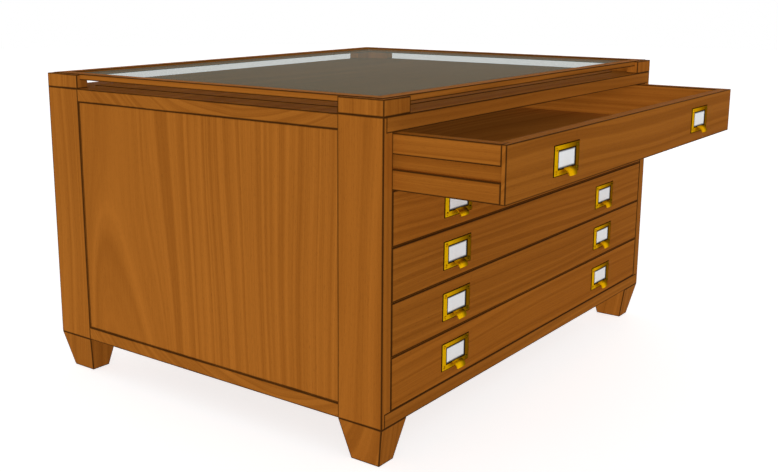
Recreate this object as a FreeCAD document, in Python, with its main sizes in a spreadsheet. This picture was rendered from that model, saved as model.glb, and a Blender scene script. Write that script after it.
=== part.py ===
import FreeCAD, Part
import os
import re
import Sketcher

# A low plan chest: five shallow drawers in a case of thick boards on tapered feet, with a glazed frame
# carried on four corner blocks above the top board, so that things can be shown under the glass.
# Millimetres, +Z up. The origin is on the floor, in the middle of the case's footprint. +X runs along the
# drawer fronts and +Y from the fronts to the back. The top drawer stands partly open.

DRAWERS = 5

SIZES = {
    # the case
    "cabinet_width": 836,
    "cabinet_depth": 640,
    "board_thickness": 20,
    "drawer_pitch": 72,
    # feet and corner blocks, along the front; the other way they are as long as the posts are wide
    "corner_width": 57,
    # corner posts: the boards are let into them and a lip is left outside
    "post_thickness": 20,
    "post_width": 70,
    "post_lip": 6,
    # panels between the posts, set back a little from their faces
    "panel_recess": 2,
    "back_recess": 2,
    "back_thickness": 12,
    # feet
    "foot_height": 58,
    "foot_taper": 12.5,
    # raised board under the glass, bedded in the top board
    "display_margin": 50,
    "display_thickness": 6,
    "display_rise": 0.8,
    "display_gap": 0.3,
    # corner blocks that carry the glazed frame
    "block_height": 21,
    "block_lip": 6,
    "seat_depth": 8,
    # glazed frame
    "frame_width": 20,
    "frame_height": 9,
    "glass_thickness": 3,
    "glass_groove_rise": 3,
    "glass_groove_depth": 8,
    "glass_play": 0.2,
    "glass_gap": 0.5,
    # runners: the drawer hangs on their top faces
    "runner_front_gap": 2,
    "runner_end_gap": 1.5,
    "runner_top_play": 0.3,
    "runner_foot_play": 0.7,
    # drawers
    "drawer_open": 154,
    "drawer_rear_space": 26,
    "drawer_side_gap": 1,
    "drawer_foot_gap": 0.5,
    "drawer_head_gap": 1,
    "front_thickness": 18,
    "front_lip": 6,
    "side_thickness": 18,
    "runner_groove_height": 18.5,
    "runner_groove_depth": 8,
    "drawer_back_thickness": 12,
    "bottom_thickness": 6,
    "bottom_rise": 6,
    "bottom_groove_depth": 6,
    "bottom_play": 0.3,
    # brass label pulls
    "pull_offset": 242.3,
    "pull_drop": 0.4,
    "plate_width": 70.5,
    "plate_height": 39.5,
    "plate_edge": 0.9,
    "plate_crown": 0.6,
    "plate_round": 0.5,
    "window_width": 47.5,
    "window_height": 22.5,
    "window_rise": 0.5,
    "card_border": 3,
    "card_recess": 0.5,
    "card_thickness": 0.4,
    "card_gap": 0.5,
    "hood_width": 22,
    "hood_radius": 9.5,
    "hood_thickness": 1.4,
    "hood_corner": 3,
    # how far a cut runs past the wood
    "overrun": 1,
}

# places and lengths that follow from the sizes
HALF_WIDTH = "cabinet_width / 2"
HALF_DEPTH = "cabinet_depth / 2"
OPENING_HEIGHT = f"({DRAWERS} * drawer_pitch)"
CASE_HEIGHT = f"({OPENING_HEIGHT} + 2 * board_thickness)"
CASE_TOP = f"(foot_height + {CASE_HEIGHT})"
FRAME_RISE = f"({CASE_TOP} + block_height - seat_depth)"
DRAWER_WIDTH = "(cabinet_width - 2 * post_thickness - 2 * drawer_side_gap)"
DRAWER_LENGTH = "(cabinet_depth - back_recess - back_thickness - drawer_rear_space)"
DRAWER_HEIGHT = "(drawer_pitch - drawer_foot_gap - drawer_head_gap)"
RUNNER_GROOVE_RISE = f"(({DRAWER_HEIGHT} - runner_groove_height) / 2)"
RUNNER_RISE = f"({RUNNER_GROOVE_RISE} + runner_foot_play)"
RUNNER_HEIGHT = "(runner_groove_height - runner_foot_play - runner_top_play)"
RUNNER_THICKNESS = "(drawer_side_gap + runner_groove_depth - runner_end_gap)"
BOTTOM_GROOVE_HEIGHT = "(bottom_thickness + bottom_play)"
PLATE_FRONT = "(plate_edge + plate_crown)"
WINDOW_FOOT = "(window_rise - window_height / 2)"

doc = FreeCAD.newDocument("plan_chest")
sheet = doc.addObject("Spreadsheet::Sheet", "Sizes")
for row, (alias, size) in enumerate(SIZES.items(), start=1):
    sheet.set(f"A{row}", alias.replace("_", " "))
    sheet.set(f"B{row}", str(size))
    sheet.setAlias(f"B{row}", alias)
doc.recompute()

nodes = []


def on_sheet(text):
    """The expression with each size's name pointing at its cell."""
    return re.sub(r"[a-z]+(?:_[a-z]+)*", lambda m: f"Sizes.{m[0]}" if m[0] in SIZES else m[0], str(text))


def value(text):
    return float(sheet.evalExpression(on_sheet(text)))


def bind(piece, **expressions):
    for name, text in expressions.items():
        piece.setExpression(name.replace("_at_", "."), on_sheet(text))


def place(piece, x="0", y="0", z="0"):
    bind(piece, Placement_at_Base_at_x=x, Placement_at_Base_at_y=y, Placement_at_Base_at_z=z)
    return piece


def turn(piece, axis, degrees):
    piece.Placement = FreeCAD.Placement(FreeCAD.Vector(), FreeCAD.Rotation(FreeCAD.Vector(*axis), degrees))


def node(piece, name):
    """Marks a piece as one that is written out, under its label."""
    piece.Label = name
    nodes.append(piece)
    return piece


def box(name, size, corner):
    piece = doc.addObject("Part::Box", name)
    bind(piece, Length=size[0], Width=size[1], Height=size[2])
    return place(piece, *corner)


def body(name):
    return doc.addObject("PartDesign::Body", name)


def origin(owner, role):
    return next(item for item in owner.Origin.OriginFeatures if item.Role == role)


def sketch(owner, plane, points, radii=None, lift=None):
    """A closed outline in a body. Every corner is driven from the sheet. radii gives, for each edge that is
    an arc, the side to which it bulges from its line of travel (1 is left) and its radius."""
    radii = radii or {}
    item = owner.newObject("Sketcher::SketchObject", "Outline")
    item.AttachmentSupport = [(origin(owner, plane), "")]
    item.MapMode = "FlatFace"
    if lift:
        bind(item, AttachmentOffset_at_Base_at_z=lift)
    corners = [FreeCAD.Vector(value(x), value(y), 0) for x, y in points]
    ends = {}
    for i, start in enumerate(corners):
        stop = corners[(i + 1) % len(corners)]
        ends[i] = (1, 2)
        if i not in radii:
            item.addGeometry(Part.LineSegment(start, stop))
            continue
        side, radius = radii[i][0], value(radii[i][1])
        along = stop - start
        sagitta = radius - (radius ** 2 - (along.Length / 2) ** 2) ** 0.5
        left = FreeCAD.Vector(-along.y, along.x, 0).normalize()
        middle = (start + stop) * 0.5 + left * side * sagitta
        # an arc that bulges to the left of its line of travel runs clockwise, so its ends change places
        if side > 0:
            ends[i] = (2, 1)
            start, stop = stop, start
        item.addGeometry(Part.Arc(start, middle, stop))
    for i in range(len(corners)):
        after = (i + 1) % len(corners)
        item.addConstraint(Sketcher.Constraint("Coincident", i, ends[i][1], after, ends[after][0]))
    for i, point in enumerate(points):
        for kind, text in zip(("DistanceX", "DistanceY"), point):
            number = item.addConstraint(Sketcher.Constraint(kind, -1, 1, i, ends[i][0], value(text)))
            item.setExpression(f"Constraints[{number}]", on_sheet(text))
    for i, (side, radius) in radii.items():
        number = item.addConstraint(Sketcher.Constraint("Radius", i, value(radius)))
        item.setExpression(f"Constraints[{number}]", on_sheet(radius))
    return item


def rectangle(x0, y0, x1, y1):
    return [(x0, y0), (x1, y0), (x1, y1), (x0, y1)]


def both_ways(points):
    """The points, and their mirror images across the Y axis in the opposite order."""
    return points + [(f"-({x})", y) for x, y in reversed(points)]


def four_ways(points):
    """The points, and their mirror images across both axes, in order round the outline."""
    half = both_ways(points)
    return half + [(x, f"-({y})") for x, y in reversed(half)]


def pad(owner, outline, length, reverse=False, middle=False):
    item = owner.newObject("PartDesign::Pad", "Pad")
    item.Profile = outline
    bind(item, Length=length)
    item.Reversed = reverse
    item.Midplane = middle
    doc.recompute()
    return item


def pocket(owner, outline, depth=None, reverse=False):
    """A cut to a depth, or right through, that must take wood away."""
    before = owner.Shape.Volume
    item = owner.newObject("PartDesign::Pocket", "Pocket")
    item.Profile = outline
    item.Reversed = reverse
    if depth:
        bind(item, Length=depth)
    else:
        item.Type = "ThroughAll"
    doc.recompute()
    if not owner.Shape.Volume < before:
        raise RuntimeError(f"{owner.Name}: a pocket cuts nothing")
    return item


def mirrored(name, source, normal):
    """The same piece on the other side of the case."""
    piece = doc.addObject("Part::Mirroring", name)
    piece.Source = source
    piece.Normal = FreeCAD.Vector(*normal)
    return piece


def on_every_corner(name, piece):
    """Names the left front piece and makes the other three from it."""
    node(piece, f"left_front_{name}")
    right = node(mirrored("Mirror", piece, (1, 0, 0)), f"right_front_{name}")
    node(mirrored("Mirror", piece, (0, 1, 0)), f"left_back_{name}")
    node(mirrored("Mirror", right, (0, 1, 0)), f"right_back_{name}")


def copy_of(source, x="0", y="0", z="0"):
    """A linked copy that keeps the source's own place and is moved by x, y, z."""
    item = doc.addObject("App::Link", "Copy")
    item.LinkedObject = source
    item.LinkTransform = True
    return place(item, x, y, z)


def pair_of(name, source, offset, z):
    """Two separate copies, left and right of the middle."""
    group = doc.addObject("Part::Compound", name)
    group.Links = [copy_of(source, x=f"-({offset})", z=z), copy_of(source, x=offset, z=z)]
    return group


def case_board(name):
    """A board of the whole footprint, notched where the posts' lips pass its ends."""
    owner = body(name)
    inner_x = "(cabinet_width / 2 - post_lip)"
    inner_y = "(cabinet_depth / 2 - post_width)"
    quarter = [(inner_x, HALF_DEPTH), (inner_x, inner_y), (HALF_WIDTH, inner_y)]
    pad(owner, sketch(owner, "XY_Plane", four_ways(list(reversed(quarter)))), "board_thickness")
    return owner


def top_board():
    owner = case_board("TopBoard")
    bed = four_ways([("(cabinet_width / 2 - display_margin)", "(cabinet_depth / 2 - display_margin)")])
    pocket(owner, sketch(owner, "XY_Plane", bed, lift="board_thickness"), "display_thickness - display_rise")
    node(place(owner, z=f"{CASE_TOP} - board_thickness"), "top_board")


def display_board():
    margin = "(display_margin + display_gap)"
    size = (f"cabinet_width - 2 * {margin}", f"cabinet_depth - 2 * {margin}", "display_thickness")
    corner = (f"{margin} - cabinet_width / 2", f"{margin} - cabinet_depth / 2",
              f"{CASE_TOP} + display_rise - display_thickness")
    node(box("DisplayBoard", size, corner), "display_board")


def posts():
    """Upright corner boards. Both case boards are let into them behind a lip."""
    owner = body("Post")
    top = CASE_HEIGHT
    shoulder = f"({CASE_HEIGHT} - board_thickness)"
    profile = [("0", "0"), ("post_lip", "0"), ("post_lip", "board_thickness"),
               ("post_thickness", "board_thickness"), ("post_thickness", shoulder), ("post_lip", shoulder),
               ("post_lip", top), ("0", top)]
    pad(owner, sketch(owner, "XZ_Plane", profile), "post_width", reverse=True)
    on_every_corner("post", place(owner, f"-{HALF_WIDTH}", f"-{HALF_DEPTH}", "foot_height"))


def panels():
    floor = "foot_height + board_thickness"
    side = box("SidePanel", ("post_thickness - panel_recess", "cabinet_depth - 2 * post_width", OPENING_HEIGHT),
               (f"panel_recess - {HALF_WIDTH}", f"post_width - {HALF_DEPTH}", floor))
    node(side, "left_panel")
    node(mirrored("Mirror", side, (1, 0, 0)), "right_panel")
    back = box("BackPanel", ("cabinet_width - 2 * post_thickness", "back_thickness", OPENING_HEIGHT),
               (f"post_thickness - {HALF_WIDTH}", f"{HALF_DEPTH} - back_recess - back_thickness", floor))
    node(back, "back_panel")


def runners():
    """Hardwood strips on the case's inner sides, one for each drawer, that run in the drawers' grooves."""
    owner = body("Runners")
    start = f"(front_lip + runner_front_gap - {HALF_DEPTH})"
    stop = f"({HALF_DEPTH} - back_recess - back_thickness)"
    pad(owner, sketch(owner, "YZ_Plane", rectangle(start, "0", stop, RUNNER_HEIGHT)), RUNNER_THICKNESS)
    strip = owner.Tip
    rows = owner.newObject("PartDesign::LinearPattern", "Rows")
    rows.Originals = [strip]
    rows.Direction = (origin(owner, "Z_Axis"), [""])
    rows.Occurrences = DRAWERS
    bind(rows, Length=f"{DRAWERS - 1} * drawer_pitch")
    owner.Tip = rows
    floor = f"foot_height + board_thickness + drawer_foot_gap + {RUNNER_RISE}"
    place(owner, f"post_thickness - {HALF_WIDTH}", "0", floor)
    node(owner, "left_runners")
    node(mirrored("Mirror", owner, (1, 0, 0)), "right_runners")


def feet():
    """Blocks that taper downwards on all four sides."""
    foot = doc.addObject("Part::Wedge", "Foot")
    turn(foot, (1, 0, 0), -90)
    bind(foot, Xmin="0", Xmax="corner_width", X2min="foot_taper", X2max="corner_width - foot_taper",
         Zmin="0", Zmax="post_width", Z2min="foot_taper", Z2max="post_width - foot_taper",
         Ymin="0", Ymax="foot_height")
    on_every_corner("foot", place(foot, f"-{HALF_WIDTH}", f"-{HALF_DEPTH}", "foot_height"))


def corner_blocks():
    """Angled blocks with a seat cut in the top, in which the glazed frame's corners rest."""
    owner = body("CornerBlock")
    angle = [("0", "0"), ("corner_width", "0"), ("corner_width", "post_thickness"),
             ("post_thickness", "post_thickness"), ("post_thickness", "post_width"), ("0", "post_width")]
    pad(owner, sketch(owner, "XY_Plane", angle), "block_height")
    seat = rectangle("block_lip", "block_lip", "corner_width + overrun", "post_width + overrun")
    pocket(owner, sketch(owner, "XY_Plane", seat, lift="block_height"), "seat_depth")
    on_every_corner("block", place(owner, f"-{HALF_WIDTH}", f"-{HALF_DEPTH}", CASE_TOP))


def frame_rail(name, run):
    """A rail of the glazed frame, grooved inside for the glass and mitred at both ends."""
    owner = body(name)
    groove_floor = "glass_groove_rise"
    groove_top = "glass_groove_rise + glass_thickness + glass_play"
    groove_back = "frame_width - glass_groove_depth"
    section = [("0", "0"), ("frame_width", "0"), ("frame_width", groove_floor), (groove_back, groove_floor),
               (groove_back, groove_top), ("frame_width", groove_top), ("frame_width", "frame_height"),
               ("0", "frame_height")]
    pad(owner, sketch(owner, "YZ_Plane", section), run, middle=True)
    outer = f"({run}) / 2 + overrun"
    inner = f"({run}) / 2 - frame_width - overrun"
    for side in ("", "-"):
        waste = [(f"{side}({outer})", "-overrun"), (f"{side}({inner})", "frame_width + overrun"),
                 (f"{side}({outer})", "frame_width + overrun")]
        pocket(owner, sketch(owner, "XY_Plane", waste, lift="frame_height"))
    return owner


def glazed_frame():
    long_run = "cabinet_width - 2 * block_lip"
    short_run = "cabinet_depth - 2 * block_lip"
    front = place(frame_rail("LongRail", long_run), "0", f"block_lip - {HALF_DEPTH}", FRAME_RISE)
    side = frame_rail("ShortRail", short_run)
    turn(side, (0, 0, 1), -90)
    place(side, f"block_lip - {HALF_WIDTH}", "0", FRAME_RISE)
    node(front, "front_frame_rail")
    node(mirrored("Mirror", front, (0, 1, 0)), "back_frame_rail")
    node(side, "left_frame_rail")
    node(mirrored("Mirror", side, (1, 0, 0)), "right_frame_rail")
    inset = "(block_lip + frame_width - glass_groove_depth + glass_gap)"
    size = (f"cabinet_width - 2 * {inset}", f"cabinet_depth - 2 * {inset}", "glass_thickness")
    corner = (f"{inset} - {HALF_WIDTH}", f"{inset} - {HALF_DEPTH}", f"{FRAME_RISE} + glass_groove_rise")
    node(box("Glass", size, corner), "glass_pane")


# The pieces of one drawer are made in the drawer's own frame: the origin is in the middle of the front's
# lower edge, on its face, with +Y towards the back.

def drawer_front():
    """A thick front with a lip left outside its lapped ends, and a groove for the bottom."""
    owner = body("DrawerFront")
    half = f"{DRAWER_WIDTH} / 2"
    lap = f"({half} - side_thickness)"
    ends = [(half, "0"), (half, "front_lip"), (lap, "front_lip"), (lap, "front_thickness")]
    pad(owner, sketch(owner, "XY_Plane", both_ways(ends)), DRAWER_HEIGHT)
    groove = rectangle(f"-({lap} + overrun)", "front_thickness - bottom_groove_depth",
                       f"{lap} + overrun", "front_thickness + overrun")
    pocket(owner, sketch(owner, "XY_Plane", groove, lift=f"bottom_rise + {BOTTOM_GROOVE_HEIGHT}"),
           BOTTOM_GROOVE_HEIGHT)
    return owner


def drawer_side():
    """The left side: grooved outside for the runner and inside for the bottom."""
    owner = body("DrawerSide")
    web = "side_thickness - bottom_groove_depth"
    bottom_top = f"bottom_rise + {BOTTOM_GROOVE_HEIGHT}"
    runner_top = f"{RUNNER_GROOVE_RISE} + runner_groove_height"
    section = [("0", "0"), ("side_thickness", "0"), ("side_thickness", "bottom_rise"), (web, "bottom_rise"),
               (web, bottom_top), ("side_thickness", bottom_top), ("side_thickness", DRAWER_HEIGHT),
               ("0", DRAWER_HEIGHT), ("0", runner_top), ("runner_groove_depth", runner_top),
               ("runner_groove_depth", RUNNER_GROOVE_RISE), ("0", RUNNER_GROOVE_RISE)]
    pad(owner, sketch(owner, "XZ_Plane", section), f"{DRAWER_LENGTH} - front_lip", reverse=True)
    return place(owner, f"-{DRAWER_WIDTH} / 2", "front_lip", "0")


def drawer_back():
    """Stands on the bottom between the sides."""
    inside = f"({DRAWER_WIDTH} - 2 * side_thickness)"
    foot = "(bottom_rise + bottom_thickness)"
    return box("DrawerBack", (inside, "drawer_back_thickness", f"{DRAWER_HEIGHT} - {foot}"),
               (f"-{inside} / 2", f"{DRAWER_LENGTH} - drawer_back_thickness", foot))


def drawer_bottom():
    """Held in the grooves of the front and the sides, and slid in under the back."""
    reach = "(bottom_groove_depth - bottom_play)"
    across = f"({DRAWER_WIDTH} - 2 * side_thickness + 2 * {reach})"
    start = f"(front_thickness - {reach})"
    return box("DrawerBottom", (across, f"{DRAWER_LENGTH} - {start}", "bottom_thickness"),
               (f"-{across} / 2", start, "bottom_rise"))


# The label pull is made about the middle of its plate, with its back on the drawer front's face.

def label_pull():
    """A thin crowned plate with a window for the label. From the window's foot a quarter-round hood
    springs out and curls down, so that a finger can pull from below."""
    owner = body("LabelPull")
    half = "plate_width / 2"
    crown = f"(({half}) ^ 2 + plate_crown ^ 2) / (2 * plate_crown)"
    plan = [(half, "0"), (half, "-plate_edge"), (f"-{half}", "-plate_edge"), (f"-{half}", "0")]
    plate = pad(owner, sketch(owner, "XY_Plane", plan, radii={1: (1, crown)}), "plate_height", middle=True)
    edges = [f"Edge{i}" for i, edge in enumerate(plate.Shape.Edges, start=1)
             if edge.BoundBox.YMax < -value("plate_edge") / 2]
    rounding(owner, plate, edges, "plate_round")
    side = "window_width / 2"
    head = "window_rise + window_height / 2"
    window = rectangle(f"-{side}", WINDOW_FOOT, side, head)
    pocket(owner, sketch(owner, "XZ_Plane", window), reverse=True)
    slot = rectangle(f"-({side} + card_border)", f"{WINDOW_FOOT} - card_border", f"{side} + card_border",
                     "plate_height / 2 + overrun")
    pocket(owner, sketch(owner, "XZ_Plane", slot), "card_recess", reverse=True)
    root = "-(plate_edge + card_recess) / 2"
    tip = f"{WINDOW_FOOT} - hood_radius"
    under = "(hood_radius - hood_thickness)"
    curl = [(root, WINDOW_FOOT), (f"-{PLATE_FRONT}", WINDOW_FOOT), (f"-{PLATE_FRONT} - hood_radius", tip),
            (f"-{PLATE_FRONT} - {under}", tip), (f"-{PLATE_FRONT}", f"{WINDOW_FOOT} - hood_thickness"),
            (root, f"{WINDOW_FOOT} - hood_thickness")]
    hood = pad(owner, sketch(owner, "YZ_Plane", curl, radii={1: (-1, "hood_radius"), 3: (1, under)}),
               "hood_width", middle=True)
    corners = [f"Edge{i}" for i, edge in enumerate(hood.Shape.Edges, start=1) if is_hood_corner(edge)]
    rounding(owner, hood, corners, "hood_corner")
    return owner


def rounding(owner, base, edges, radius):
    item = owner.newObject("PartDesign::Fillet", "Round")
    item.Base = (base, edges)
    bind(item, Radius=radius)
    doc.recompute()
    return item


def is_hood_corner(edge):
    """One of the two short edges across the hood's thickness at its tip."""
    box_of = edge.BoundBox
    tip = value(f"{WINDOW_FOOT} - hood_radius")
    return abs(box_of.ZMin - tip) + abs(box_of.ZMax - tip) + box_of.XLength < tolerance


tolerance = 0.001


def label_card():
    """A plain card behind the window, held in the recess in the plate's back."""
    across = "(window_width + 2 * card_border - 2 * card_gap)"
    tall = "(window_height + 2 * card_border - card_gap)"
    return box("LabelCard", (across, "card_thickness", tall),
               (f"-{across} / 2", "-card_thickness", f"{WINDOW_FOOT} - card_border + card_gap"))


def drawers():
    front = drawer_front()
    left = drawer_side()
    height = f"{DRAWER_HEIGHT} / 2 - pull_drop"
    pieces = {
        "front": front,
        "left_side": left,
        "right_side": mirrored("Mirror", left, (1, 0, 0)),
        "back": drawer_back(),
        "bottom": drawer_bottom(),
        "pulls": pair_of("Pulls", label_pull(), "pull_offset", height),
        "cards": pair_of("Cards", label_card(), "pull_offset", height),
    }
    for number in range(1, DRAWERS + 1):
        rise = f"foot_height + board_thickness + {DRAWERS - number} * drawer_pitch + drawer_foot_gap"
        face = f"-{HALF_DEPTH} - drawer_open" if number == 1 else f"-{HALF_DEPTH}"
        for name, source in pieces.items():
            node(copy_of(source, "0", face, rise), f"drawer_{number}_{name}")


def build():
    node(place(case_board("BottomBoard"), z="foot_height"), "bottom_board")
    top_board()
    display_board()
    posts()
    panels()
    runners()
    feet()
    corner_blocks()
    glazed_frame()
    drawers()
    doc.recompute()


def write():
    """Checks every object, then writes one STEP file for each node."""
    for item in doc.Objects:
        if "Invalid" in item.State or "Error" in item.State:
            raise RuntimeError(f"{item.Label} failed: {item.State}")
    os.makedirs("parts", exist_ok=True)
    for piece in nodes:
        shape = piece.Shape
        if shape.isNull() or not shape.isValid() or not shape.Solids:
            raise RuntimeError(f"{piece.Label} has no valid shape")
    for piece in nodes:
        piece.Shape.exportStep(f"parts/{piece.Label}.step")
    print(len(nodes), "nodes,", sum(len(piece.Shape.Solids) for piece in nodes), "solids")


build()
write()
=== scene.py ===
"""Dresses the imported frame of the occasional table: wood, brass, card and glass, the screws of
the label pulls, a white studio and the camera at the photograph's viewing angle."""

import math
import random

import bmesh
import bpy
from mathutils import Matrix, Vector


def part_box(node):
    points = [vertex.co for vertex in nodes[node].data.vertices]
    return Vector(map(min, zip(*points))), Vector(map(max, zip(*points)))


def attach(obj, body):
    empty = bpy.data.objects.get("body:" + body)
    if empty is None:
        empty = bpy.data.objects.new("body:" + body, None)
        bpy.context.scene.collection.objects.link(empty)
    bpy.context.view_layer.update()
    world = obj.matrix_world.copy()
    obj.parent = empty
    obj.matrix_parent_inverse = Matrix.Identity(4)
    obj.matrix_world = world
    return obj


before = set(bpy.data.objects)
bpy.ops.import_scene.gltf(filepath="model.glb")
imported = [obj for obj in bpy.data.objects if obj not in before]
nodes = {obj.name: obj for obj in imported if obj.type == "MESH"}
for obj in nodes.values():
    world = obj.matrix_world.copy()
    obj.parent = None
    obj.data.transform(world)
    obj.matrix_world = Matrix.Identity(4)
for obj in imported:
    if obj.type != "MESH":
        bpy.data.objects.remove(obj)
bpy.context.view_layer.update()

# Colours as they are written, in sRGB from 0 to 255.
CASE = (158, 94, 31)
DRAWER = (156, 92, 29)
# LIT_DRAWER_FLOOR is the drawers' timber painted paler on their bottoms, lifting the shade inside
# a drawer: painted light.
LIT_DRAWER_FLOOR = (170, 106, 40)
BRASS = (207, 161, 12)
# BRASS_HOOD_LIT is the same brass painted paler on the hood: painted light.
BRASS_HOOD_LIT = (232, 181, 14)
# BRASS_SHADED_OLIVE is painted shade, darkening each pull towards its right side.
BRASS_SHADED_OLIVE = (110, 87, 4)
BRASS_EDGE = (206, 160, 60)
# BRASS_DARK is both dark patina in patches and painted shade at the plate's rim and window.
BRASS_DARK = (30, 20, 2)
CARD = (246, 247, 248)
CARD_SHADE = (34, 28, 20)
GLASS = (117, 131, 116)
WHITE = (255, 255, 255)

# Colours as a shader takes them.
PORE_DARK = (0.05, 0.020, 0.006, 1.0)
# ARRIS_SHADE_COLOUR is painted shade: the timber darkens towards it along every edge, joint and
# groove.
ARRIS_SHADE_COLOUR = (0.018, 0.007, 0.002, 1.0)
SKY = (0.97, 0.985, 1.0, 1.0)
FLOOR_GREY = (0.80, 0.80, 0.80, 1.0)

# All lengths are in metres. A foot narrows by so much of its height on each side.
EASED_EDGE = 0.0005
POST_LIP = 0.006
GROOVE_HALF = 0.00925
LINE_DEPTH = 0.0002
FOOT_TAPER = 0.0125 / 0.058

# The way the grain runs, by how a node's name ends, and the turn that brings it to X.
GRAIN = {
    "x": ("top_board", "bottom_board", "display_board", "front_frame_rail", "back_frame_rail",
          "front", "back", "bottom"),
    "y": ("left_frame_rail", "right_frame_rail", "runners", "side"),
    "z": ("post", "foot", "panel", "block"),
}
TURNS = {"x": (0.0, 0.0, 0.0), "y": (0.0, 0.0, -math.pi / 2), "z": (0.0, math.pi / 2, 0.0)}

# The timber's patterns, as their number to a metre, along the grain and both ways across it. The
# rings are counted outwards from the pith. BEND_REACH is the bends' whole swing to both sides.
BENDS = (1.1, 4.5, 4.5)
BEND_REACH = (0.0, 0.05, 0.05)
DRIFTS = (1.6, 9.0, 9.0)
FIBRES = (9.0, 620.0, 620.0)
PORES = (130.0, 2600.0, 2600.0)
WIDE_RINGS, FINE_RINGS = 130.0, 520.0
PORE_SHARE = 0.30

# The painted shade along a board's edges, joints and groove: how near it is full, how far off it
# ends, its share and unevenness.
SHADE_FULL_WITHIN, SHADE_GONE_AT = 0.0007, 0.0023
ARRIS_SHADE_SHARE = 0.86
ARRIS_SHADE_DRIFT = 0.0016

# A board's place in the tree from the pith, along the grain and both ways across it, its dark and
# light wood as shares of its colour, and how much the boards differ in tone and warmth.
PITH_ALONG = (-9, 9)
PITH_ACROSS = ((0.05, 0.22), (0.16, 0.34))
DARK_WOOD = (0.80, 0.76, 0.70)
LIGHT_WOOD = (1.17, 1.20, 1.24)
TONES = (0.955, 1.045)
WARMTH = 0.02

# A label pull's middle, from the drawer's middle and foot, and its parts, as sizes or as places
# from that middle. In front of the drawer's face all is plate up to PLATE_OUT, and hood from
# HOOD_OUT. At the screws the plate stands out by PLATE_AT_SCREW, and the heads sink into it.
PULL_X, PULL_RISE = 0.2423, 0.03485
PLATE = (0.0705, 0.0395)
WINDOW = (0.0475, 0.0225)
WINDOW_RISE = 0.0005
PLATE_OUT, HOOD_OUT = 0.0017, 0.0024
SCREW_X, SCREW_Z = 0.0293, 0.0145
PLATE_AT_SCREW, SCREW_SINK = 0.00109, 0.0001

# Distances beyond a rim, and below zero inside it: where painted shade sets in towards the
# plate's rim and where it ends round the window's, and where the window's painted shade sets in
# on a card.
RIM, MOUTH = (-0.0016, -0.0005), (0.0009, 0.0022)
CARD_EDGE = (-0.0026, -0.0006)
CARD_SHADED = 0.85

# Where gold turns to olive, a painted shade, from a pull's middle to the right, on the plate and
# on the hood.
PLATE_SHADE_TURNS, HOOD_SHADE_TURNS = (-0.030, 0.030), (-0.003, 0.010)

# The plate's normals are those of one that falls by CROWN times the distance from its middle
# squared. The brush marks are given as their number to a metre, and their height.
CROWN = 2.4
BRUSH_MARKS = (60.0, 900.0, 2600.0)
BRUSH_RELIEF = 0.000012

# Half the profile of a screw's head, as distance from its axis and height, and its slot.
SCREW_PROFILE = ((0.00262, 0.0), (0.00262, 0.00022), (0.00250, 0.00048), (0.00222, 0.00078),
                 (0.00180, 0.00104), (0.00128, 0.00122), (0.00070, 0.00132))
SCREW_SIDES = 32
HALF_SLOT, SLOT_FLOOR = 0.00040, 0.00055

# The grey film on the glass, and how much less of it the lamps' light meets.
FILM, FILM_SPARED = 0.58, 0.44

# Each lamp's name, the way to it, its level, its breadth in degrees, whether metal and glass show
# it, and whether it casts shadows. They are suns, so their distance only keeps them clear.
LAMPS = (
    ("key", (-0.81, -0.54, 0.21), 0.16, 14, True, True),
    ("even_fill", (-0.79, -0.52, 0.29), 0.55, 14, False, False),
    ("front", (-0.30, -0.62, 0.72), 0.05, 50, False, True),
    ("right_fill", (0.86, 0.30, 0.05), 0.34, 50, False, True),
    ("back_fill", (0.00, 0.98, 0.05), 0.30, 50, False, True),
)
LAMP_DISTANCE = 3
SKY_LEVEL, FLOOR_GLOW = 0.31, 0.62
FLOOR_RADIUS, FLOOR_DROP = 9.0, 0.0003

CAMERA_PLACE = (-1.4116, -1.0222, 0.6122)
CAMERA_AZIMUTH, CAMERA_ELEVATION = -52.6235, 11.9802
CAMERA_LENS, CAMERA_SENSOR = 47.567, 36.0
CAMERA_SHIFT = (0.0555, -0.0424)


def linear(colour, scale=1.0):
    """A written colour as a shader takes it."""
    def one(c):
        c /= 255
        return c / 12.92 if c <= 0.04045 else ((c + 0.055) / 1.055) ** 2.4
    return (*(min(1.0, one(c) * scale) for c in colour), 1.0)


def tinted(colour, shares):
    """A shader's colour with its red, green and blue each multiplied by a share."""
    return (*(c * share for c, share in zip(colour, shares)), 1.0)


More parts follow.
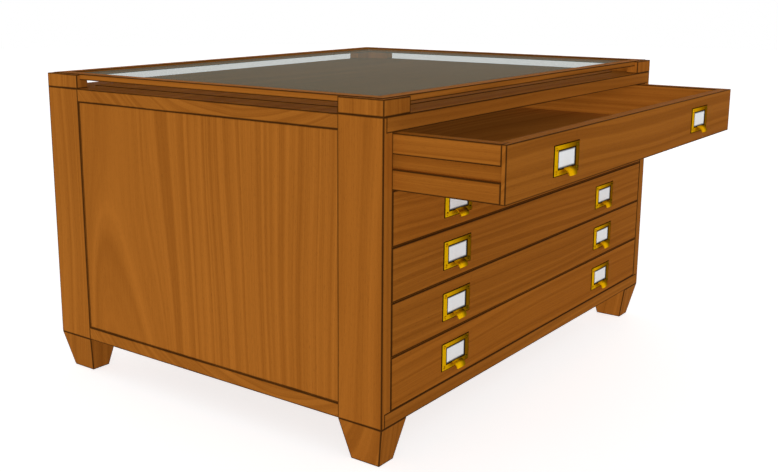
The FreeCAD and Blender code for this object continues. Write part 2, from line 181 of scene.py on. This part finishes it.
class Graph:
    """Short calls for a node tree. A source is a socket to link or a value to set."""

    def __init__(self, tree):
        self.tree = tree

    def node(self, kind, inputs=None, **settings):
        n = self.tree.nodes.new(kind)
        for name, setting in settings.items():
            setattr(n, name, setting)
        for name, source in (inputs or {}).items():
            if isinstance(source, bpy.types.NodeSocket):
                self.tree.links.new(source, n.inputs[name])
            else:
                n.inputs[name].default_value = source
        return n

    def feed(self, n, sources):
        for name, source in sources.items():
            self.tree.links.new(source, n.inputs[name])

    def maths(self, operation, *sources, clamp=False):
        return self.node("ShaderNodeMath", dict(enumerate(sources)), operation=operation,
                         use_clamp=clamp).outputs[0]

    def total(self, start, *shares):
        """start and each source times its share, added up."""
        for source, share in shares:
            start = self.maths("MULTIPLY_ADD", source, share, start)
        return start

    def vectors(self, operation, *sources):
        n = self.node("ShaderNodeVectorMath", dict(enumerate(sources)), operation=operation)
        return n.outputs["Value" if operation == "LENGTH" else "Vector"]

    def place(self):
        return self.node("ShaderNodeTexCoord").outputs["Object"]

    def split(self, vector):
        return self.node("ShaderNodeSeparateXYZ", {0: vector}).outputs

    def noise(self, place, scale=1.0, detail=2.0, roughness=0.5, dimensions="3D"):
        inputs = {"Scale": scale, "Detail": detail, "Roughness": roughness}
        inputs["W" if dimensions == "1D" else "Vector"] = place
        return self.node("ShaderNodeTexNoise", inputs, noise_dimensions=dimensions).outputs["Fac"]

    def spread(self, source, low, high, to_low=0.0, to_high=1.0):
        return self.node("ShaderNodeMapRange",
                         {"Value": source, "From Min": low, "From Max": high,
                          "To Min": to_low, "To Max": to_high},
                         interpolation_type="SMOOTHSTEP").outputs["Result"]

    def mix(self, factor, first, second):
        return self.node("ShaderNodeMix", {0: factor, 6: first, 7: second},
                         data_type="RGBA").outputs[2]

    def bump(self, height, strength=1.0, distance=1.0):
        return self.node("ShaderNodeBump", {"Height": height, "Strength": strength,
                                            "Distance": distance}).outputs["Normal"]


def group(name, inputs, outputs):
    """A node group: its graph, what it is given, and its end node."""
    tree = bpy.data.node_groups.new(name, "ShaderNodeTree")
    for way, sockets in (("INPUT", inputs), ("OUTPUT", outputs)):
        for label, kind in sockets.items():
            tree.interface.new_socket(label, in_out=way, socket_type="NodeSocket" + kind)
    g = Graph(tree)
    return g, g.node("NodeGroupInput").outputs, g.node("NodeGroupOutput")


def edge_group():
    """Nearness to a board's edges: on a box's surface, the two smaller distances to its faces add
    up to the distance to the nearest edge. Taper narrows the box towards its foot."""
    g, given, end = group(
        "Edges", {"Place": "Vector", "Low": "Vector", "High": "Vector", "Taper": "Float"},
        {"Distance": "Float"})
    below = g.vectors("SUBTRACT", given["Place"], given["Low"])
    above = g.vectors("SUBTRACT", given["High"], given["Place"])
    near = g.split(g.vectors("MINIMUM", below, above))
    inset = g.maths("MULTIPLY", g.split(above)["Z"], given["Taper"])
    x = g.maths("ABSOLUTE", g.maths("SUBTRACT", near["X"], inset))
    y = g.maths("ABSOLUTE", g.maths("SUBTRACT", near["Y"], inset))
    z = near["Z"]
    all_three = g.maths("ADD", g.maths("ADD", x, y), z)
    largest = g.maths("MAXIMUM", g.maths("MAXIMUM", x, y), z)
    g.feed(end, {"Distance": g.maths("SUBTRACT", all_three, largest)})
    return g.tree


def timber_group():
    """Solid timber with its grain along X: growth rings round a far pith, fibres, pores and slow
    drifts of tone, and painted shade darkening it along its edges."""
    g, given, end = group(
        "Timber", {"Place": "Vector", "Dark": "Color", "Light": "Color", "Edge": "Float"},
        {"Colour": "Color", "Roughness": "Float", "Height": "Float"})
    place = given["Place"]
    bend = g.node("ShaderNodeTexNoise", {"Vector": g.vectors("MULTIPLY", place, BENDS),
                                         "Scale": 1.0, "Detail": 1.5}).outputs["Color"]
    bend = g.vectors("SUBTRACT", bend, (0.5, 0.5, 0.5))
    bent = g.vectors("ADD", place, g.vectors("MULTIPLY", bend, BEND_REACH))
    radius = g.vectors("LENGTH", g.vectors("MULTIPLY", bent, (0.0, 1.0, 1.0)))
    wide = g.noise(radius, scale=WIDE_RINGS, detail=1.0, dimensions="1D")
    fine = g.noise(radius, scale=FINE_RINGS, dimensions="1D")
    fibre = g.noise(g.vectors("MULTIPLY", bent, FIBRES))
    drift = g.noise(g.vectors("MULTIPLY", place, DRIFTS))
    pores = g.spread(g.noise(g.vectors("MULTIPLY", bent, PORES), detail=1.0), 0.60, 0.74)

    tone = g.total(0.0, (wide, 0.40), (fine, 0.20), (fibre, 0.16), (drift, 0.24))
    colour = g.mix(g.spread(tone, 0.30, 0.70), given["Dark"], given["Light"])
    colour = g.mix(g.maths("MULTIPLY", pores, PORE_SHARE), colour, PORE_DARK)
    # Painted shade along edges, joints and groove lines, with a slow unevenness.
    uneven = g.total(given["Edge"], (g.maths("SUBTRACT", drift, 0.5), ARRIS_SHADE_DRIFT))
    arris_shade = g.spread(uneven, SHADE_FULL_WITHIN, SHADE_GONE_AT, 1.0, 0.0)
    colour = g.mix(g.maths("MULTIPLY", arris_shade, ARRIS_SHADE_SHARE), colour, ARRIS_SHADE_COLOUR)
    g.feed(end, {"Colour": colour,
                 "Roughness": g.total(0.50, (fibre, 0.16), (pores, 0.12)),
                 "Height": g.total(0.0, (fibre, 0.5), (wide, 0.3), (pores, -0.6))})
    return g.tree


def new_material(name, **values):
    """A material with values set on its shader, its graph, and the shader."""
    mat = bpy.data.materials.new(name)
    mat.use_nodes = True
    shader = mat.node_tree.nodes["Principled BSDF"]
    for label, setting in values.items():
        shader.inputs[label.replace("_", " ")].default_value = setting
    return mat, Graph(mat.node_tree), shader


def nearest_arris(g, name, place, edges):
    """Nearness to a board's edges, and to arrises that its box doesn't have: those of the running
    groove outside a drawer's side, and the joints along the ends of the top and bottom boards,
    where the posts' lips pass them. The timber is painted with shade near all of them."""
    low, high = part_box(name)
    edge = g.node("ShaderNodeGroup", {"Place": place, "Low": low, "High": high,
                                      "Taper": FOOT_TAPER if "foot" in name else 0.0},
                  node_tree=edges).outputs["Distance"]
    if not name.endswith("_side") and name not in ("top_board", "bottom_board"):
        return edge
    split = g.split(place)
    if name.endswith("_side"):
        rise = g.maths("SUBTRACT", split["Z"], (low.z + high.z) / 2)
        across = g.maths("SUBTRACT", g.maths("ABSOLUTE", rise), GROOVE_HALF)
        outer, inwards = max(-low.x, high.x), split["X"]
    else:
        across = g.maths("SUBTRACT", g.maths("ABSOLUTE", split["X"]), high.x - POST_LIP)
        outer, inwards = high.y, split["Y"]
    depth = g.maths("SUBTRACT", outer - LINE_DEPTH, g.maths("ABSOLUTE", inwards))
    return g.maths("MINIMUM", edge, g.maths("MAXIMUM", g.maths("ABSOLUTE", across), depth))


def wood(name, axis, written, edges, timber):
    """A board's own material: its grain axis, a place in the tree that is its own, and a slightly
    different tone."""
    rng = random.Random(name)
    mat, g, shader = new_material("wood_" + name, IOR=1.035)
    low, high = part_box(name)
    place = g.place()
    pith = Vector((rng.uniform(*PITH_ALONG),
                   *(rng.choice((-1, 1)) * rng.uniform(*span) for span in PITH_ACROSS)))
    turned = Matrix.Identity(4)
    for angle, letter in zip(TURNS[axis], "XYZ"):
        turned = Matrix.Rotation(angle, 4, letter) @ turned
    shift = pith - turned @ ((low + high) / 2)
    grain = g.node("ShaderNodeMapping", {"Vector": place, "Location": shift,
                                         "Rotation": TURNS[axis]}).outputs["Vector"]
    tone = rng.uniform(*TONES)
    warm = rng.uniform(-WARMTH, WARMTH)
    own = tinted(linear(written), (tone * (1 + warm), tone, tone * (1 - 2 * warm)))
    body = g.node("ShaderNodeGroup", {
        "Place": grain,
        "Edge": nearest_arris(g, name, place, edges),
        "Dark": tinted(own, DARK_WOOD),
        "Light": tinted(own, LIGHT_WOOD),
    }, node_tree=timber).outputs
    g.feed(shader, {"Base Color": body["Colour"], "Roughness": body["Roughness"],
                    "Normal": g.bump(body["Height"], strength=0.35, distance=0.00025)})
    return mat


def from_pull(g, place, foot):
    """A place as measured from the nearer pull's middle, outwards in x and upwards in z, and as
    its own coordinates."""
    split = g.split(place)
    x = g.maths("SUBTRACT", g.maths("ABSOLUTE", split["X"]), PULL_X)
    return x, g.maths("SUBTRACT", split["Z"], foot + PULL_RISE), split


def beyond(g, x, z, size):
    """How far a place lies outside a rectangle of that size, and below zero inside it."""
    out_x = g.maths("SUBTRACT", g.maths("ABSOLUTE", x), size[0] / 2)
    out_z = g.maths("SUBTRACT", g.maths("ABSOLUTE", z), size[1] / 2)
    return g.maths("MAXIMUM", out_x, out_z)


def beyond_window(g, x, z):
    return beyond(g, x, g.maths("SUBTRACT", z, WINDOW_RISE), WINDOW)


def brass(name, face, foot):
    """Polished brass, its normals crowned as the stamped plate's are, with painted shade at the
    plate's rim and round its window, dark patina in patches, painted shade turning it olive to
    the right, and painted light making the hood a paler gold. face is where the drawer's face
    stands and foot its lowest point."""
    mat, g, shader = new_material(name, Metallic=1.0, Specular_Tint=linear(BRASS_EDGE))
    place = g.place()
    x, z, split = from_pull(g, place, foot)
    x = g.maths("MULTIPLY", x, g.maths("SIGN", split["X"]))
    on_plate = g.spread(split["Y"], face - HOOD_OUT, face - PLATE_OUT)
    cloud = g.noise(place, scale=260.0, detail=3.0, roughness=0.6)
    brushed = g.noise(g.vectors("MULTIPLY", place, BRUSH_MARKS))

    # Painted shade at the plate's rim and round its window; patches of dark patina join it.
    rim = g.spread(beyond(g, x, z, PLATE), *RIM)
    mouth = g.spread(beyond_window(g, x, z), *MOUTH, 1.0, 0.0)
    patina_and_shade = g.maths("MULTIPLY", g.maths("MAXIMUM", rim, mouth), on_plate)
    patina_and_shade = g.maths("ADD", patina_and_shade, g.spread(cloud, 0.50, 0.75, 0.0, 0.22), clamp=True)
    # Painted shade: gold turns olive towards each pull's right side.
    olive = g.mix(on_plate, g.spread(x, *HOOD_SHADE_TURNS), g.spread(x, *PLATE_SHADE_TURNS))
    olive = g.maths("MULTIPLY", olive, g.spread(cloud, 0.2, 0.7, 1.0, 0.88))
    # Painted light: the hood takes a paler gold than the plate.
    colour = g.mix(on_plate, linear(BRASS_HOOD_LIT), linear(BRASS))
    colour = g.mix(olive, colour, linear(BRASS_SHADED_OLIVE))
    colour = g.mix(patina_and_shade, colour, linear(BRASS_DARK))
    crown = g.maths("MULTIPLY", g.maths("MULTIPLY", x, x), -CROWN)
    crown = g.maths("MULTIPLY", crown, on_plate)
    g.feed(shader, {"Base Color": colour,
                    "Roughness": g.total(0.38, (cloud, 0.14), (patina_and_shade, 0.2)),
                    "Normal": g.bump(g.total(crown, (brushed, BRUSH_RELIEF)))})
    return mat


def card(name, foot):
    """Plain card with the shade of the window's edge on it. foot is the drawer's lowest point."""
    mat, g, shader = new_material(name, Specular_IOR_Level=0.2)
    place = g.place()
    x, z, _ = from_pull(g, place, foot)
    shade = g.spread(beyond_window(g, x, z), *CARD_EDGE, 0.0, CARD_SHADED)
    fibre = g.noise(place, scale=1900.0, detail=3.0, roughness=0.65)
    tone = g.total(0.0, (fibre, 0.4), (g.noise(place, scale=90.0), 0.6))
    paper = g.mix(tone, linear(CARD, 0.93), linear(CARD, 1.04))
    g.feed(shader, {"Base Color": g.mix(shade, paper, linear(CARD_SHADE)),
                    "Roughness": g.total(0.62, (fibre, 0.3)),
                    "Normal": g.bump(fibre, strength=0.25, distance=0.0001)})
    return mat


def glass():
    """A faintly grey pane, with the least unevenness of polish. Its outer faces carry the film of
    grey and the reflection, and its inner sides are clear, so that the pane counts once."""
    mat, g, shader = new_material("glass", IOR=1.004)
    inner = g.node("ShaderNodeNewGeometry").outputs["Backfacing"]
    lamp = g.node("ShaderNodeLightPath").outputs["Is Shadow Ray"]
    film = g.total(FILM, (lamp, -FILM_SPARED))
    cloud = g.noise(g.place(), scale=7.0, detail=3.0)
    g.feed(shader, {"Alpha": g.maths("MULTIPLY", g.maths("SUBTRACT", 1.0, inner), film),
                    "Base Color": g.mix(cloud, linear(GLASS, 0.94), linear(GLASS, 1.06)),
                    "Roughness": g.total(0.05, (cloud, 0.05))})
    return mat


def soften(o):
    """Eases a board's sharp edges, so that they catch light as planed timber does."""
    weld = o.modifiers.new("Weld", "WELD")
    weld.merge_threshold = 0.00001
    flat = o.modifiers.new("Flat", "DECIMATE")
    flat.decimate_type = "DISSOLVE"
    flat.angle_limit = math.radians(0.5)
    ease = o.modifiers.new("Ease", "BEVEL")
    ease.width = EASED_EDGE
    ease.segments = 2
    ease.limit_method = "ANGLE"
    ease.angle_limit = math.radians(30)
    ease.harden_normals = True


def axis_of(name):
    for axis, ends in GRAIN.items():
        if name.endswith(ends):
            return axis
    raise ValueError(name)


def colour_of(name):
    # Painted light: a drawer's bottom takes a paler colour than its other boards.
    if name.endswith("bottom"):
        return LIT_DRAWER_FLOOR
    return DRAWER if name.startswith("drawer") else CASE


def face_and_foot(drawer):
    """Where a drawer's face stands, and its lowest point."""
    low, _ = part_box(drawer + "_front")
    return low.y, low.z


def dress():
    """Gives every node its material, and returns each drawer's brass for its screws."""
    edges, timber = edge_group(), timber_group()
    pane = glass()
    brasses = {}
    for name, o in nodes.items():
        drawer, _, piece = name.rpartition("_")
        if piece == "pane":
            mat = pane
        elif piece == "cards":
            _, foot = face_and_foot(drawer)
            mat = card("card_" + drawer, foot)
        elif piece == "pulls":
            mat = brasses[drawer] = brass("brass_" + drawer, *face_and_foot(drawer))
        else:
            mat = wood(name, axis_of(name), colour_of(name), edges, timber)
            soften(o)
        o.material_slots[0].material = mat
    return brasses


def add(name, data):
    """Puts a new object in the scene."""
    o = bpy.data.objects.new(name, data)
    bpy.context.scene.collection.objects.link(o)
    return o


def screw_head():
    """The corners and faces of one round-headed screw: a lathed dome on a low collar, with its
    driver slot."""
    bm = bmesh.new()
    angles = [2 * math.pi * (i + 0.5) / SCREW_SIDES for i in range(SCREW_SIDES)]
    rings = [[bm.verts.new((r * math.cos(angle), r * math.sin(angle), h)) for angle in angles]
             for r, h in SCREW_PROFILE]
    for a, b in zip(rings, rings[1:]):
        for i in range(SCREW_SIDES):
            j = (i + 1) % SCREW_SIDES
            bm.faces.new((a[i], a[j], b[j], b[i]))
    bm.faces.new(rings[-1])
    bm.faces.new(rings[0][::-1])
    for cut, facing in (((0, -HALF_SLOT, 0), (0, 1, 0)), ((0, HALF_SLOT, 0), (0, 1, 0)),
                        ((0, 0, SLOT_FLOOR), (0, 0, 1))):
        bmesh.ops.bisect_plane(bm, geom=[*bm.verts, *bm.edges, *bm.faces], plane_co=cut,
                               plane_no=facing)
    sunk = [f for f in bm.faces if abs(f.calc_center_median().y) < HALF_SLOT
            and f.calc_center_median().z > SLOT_FLOOR]
    raised = bmesh.ops.extrude_face_region(bm, geom=sunk)["geom"]
    bmesh.ops.delete(bm, geom=sunk, context="FACES_ONLY")
    for v in raised:
        if isinstance(v, bmesh.types.BMVert):
            v.co.z = SLOT_FLOOR
    bmesh.ops.recalc_face_normals(bm, faces=bm.faces)
    bm.verts.index_update()
    made = [v.co.copy() for v in bm.verts], [[v.index for v in f.verts] for f in bm.faces]
    bm.free()
    return made


def screws(brasses):
    """Four screws hold each pull. Each head's slot was left at its own angle."""
    head, sides = screw_head()
    spots = [(x + dx, z) for x in (-PULL_X, PULL_X) for z in (-SCREW_Z, SCREW_Z)
             for dx in (-SCREW_X, SCREW_X)]
    for drawer in sorted(brasses):
        face, foot = face_and_foot(drawer)
        rng = random.Random(drawer)
        corners, faces = [], []
        for x, z in spots:
            spot = Vector((x, face - PLATE_AT_SCREW + SCREW_SINK, foot + PULL_RISE + z))
            turned = (Matrix.Translation(spot) @ Matrix.Rotation(math.pi / 2, 4, "X")
                      @ Matrix.Rotation(rng.uniform(0, math.pi), 4, "Z"))
            faces += [[len(corners) + i for i in side] for side in sides]
            corners += [turned @ p for p in head]
        mesh = bpy.data.meshes.new(drawer + "_screws")
        mesh.from_pydata(corners, [], faces)
        mesh.shade_smooth()
        mesh.set_sharp_from_angle(angle=math.radians(38))
        mesh.materials.append(brasses[drawer])
        o = add(drawer + "_screws", mesh)
        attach(o, drawer)


def two_ways(g, lit, shown):
    """One shader for the light on the object, and another for the camera and for what metal and
    glass show."""
    path = g.node("ShaderNodeLightPath").outputs
    eye = g.maths("MAXIMUM", path["Is Camera Ray"], path["Is Glossy Ray"])
    eye = g.maths("MAXIMUM", eye, path["Is Transmission Ray"])
    both = g.node("ShaderNodeMixShader", {0: eye, 1: lit.outputs[0], 2: shown.outputs[0]})
    return both.outputs[0]


def sky():
    """A soft light from all sides that shows as white."""
    world = bpy.data.worlds.new("Studio")
    bpy.context.scene.world = world
    world.use_nodes = True
    world.node_tree.nodes.clear()
    g = Graph(world.node_tree)
    soft = g.node("ShaderNodeBackground", {"Color": SKY, "Strength": SKY_LEVEL})
    white = g.node("ShaderNodeBackground", {"Color": linear(WHITE), "Strength": 1.0})
    g.node("ShaderNodeOutputWorld", {"Surface": two_ways(g, soft, white)})


def ground():
    """A pale floor that shows as white, but keeps the object's shadow."""
    mesh = bpy.data.meshes.new("floor")
    bm = bmesh.new()
    bmesh.ops.create_circle(bm, cap_ends=True, radius=FLOOR_RADIUS, segments=96,
                            matrix=Matrix.Translation((0, 0, -FLOOR_DROP)))
    bm.to_mesh(mesh)
    bm.free()
    floor = add("floor", mesh)
    mat = bpy.data.materials.new("floor")
    mat.use_nodes = True
    mat.node_tree.nodes.clear()
    g = Graph(mat.node_tree)
    plain = g.node("ShaderNodeBsdfDiffuse", {"Color": FLOOR_GREY})
    glow = g.node("ShaderNodeEmission", {"Color": linear(WHITE), "Strength": FLOOR_GLOW})
    white = g.node("ShaderNodeAddShader", {0: plain.outputs[0], 1: glow.outputs[0]})
    g.node("ShaderNodeOutputMaterial", {"Surface": two_ways(g, plain, white)})
    mesh.materials.append(mat)


def lamps():
    for name, towards, level, breadth, shows, shades in LAMPS:
        lamp = bpy.data.lights.new(name, "SUN")
        lamp.energy = level * math.pi
        lamp.angle = math.radians(breadth)
        lamp.use_shadow = shades
        o = add(name, lamp)
        o.visible_glossy = shows
        o.rotation_euler = Vector(towards).to_track_quat("Z", "Y").to_euler()
        o.location = Vector(towards) * LAMP_DISTANCE


def camera():
    azimuth, elevation = math.radians(CAMERA_AZIMUTH), math.radians(CAMERA_ELEVATION)
    back = Vector((math.sin(azimuth) * math.cos(elevation),
                   -math.cos(azimuth) * math.cos(elevation), math.sin(elevation)))
    lens = bpy.data.cameras.new("camera")
    lens.sensor_fit, lens.sensor_width, lens.lens = "HORIZONTAL", CAMERA_SENSOR, CAMERA_LENS
    lens.shift_x, lens.shift_y = CAMERA_SHIFT
    lens.clip_start, lens.clip_end = 0.02, 60
    o = add("camera", lens)
    o.location = CAMERA_PLACE
    o.rotation_euler = (-back).to_track_quat("-Z", "Y").to_euler()
    bpy.context.scene.camera = o


camera()
screws(dress())
bpy.context.scene.view_settings.view_transform = "Standard"
sky()
ground()
lamps()
